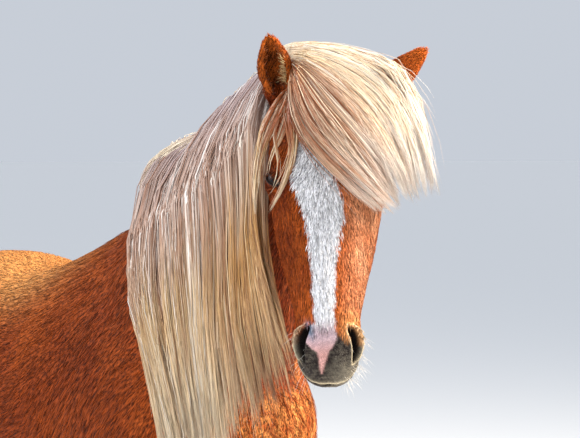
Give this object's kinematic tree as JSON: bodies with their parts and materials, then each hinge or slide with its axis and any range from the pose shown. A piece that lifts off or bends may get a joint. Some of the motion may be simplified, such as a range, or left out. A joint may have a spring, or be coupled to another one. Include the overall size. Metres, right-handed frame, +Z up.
{
  "type": "icelandic horse figure",
  "caption": "Life-size still figure of a chestnut Icelandic horse with a long pale mane, standing with its neck raised and its head turned to its right.",
  "frame": {"origin": "middle of the figure's bounding box, on the floor under the soles", "axes": "+X towards the head end, +Y towards the horse's left side, +Z up"},
  "size_m": [2.0964, 0.55, 1.7735],
  "materials": {
    "coat": "short red-brown fur, soft sheen",
    "hair": "long cream and tan hair",
    "eye": "wet dark brown",
    "hoof": "dull striped horn"
  },
  "bodies": {
    "root": {"torso": "coat", "neck": "coat", "head": "coat", "ear_left": "coat", "ear_right": "coat", "eye_left": "eye", "eye_right": "eye", "tail": "hair", "leg_upper_front_left": "coat", "leg_lower_front_left": "coat", "hoof_front_left": "hoof", "leg_upper_front_right": "coat", "leg_lower_front_right": "coat", "hoof_front_right": "hoof", "leg_upper_hind_left": "coat", "leg_lower_hind_left": "coat", "hoof_hind_left": "hoof", "leg_upper_hind_right": "coat", "leg_lower_hind_right": "coat", "hoof_hind_right": "hoof"}
  },
  "joints": []
}
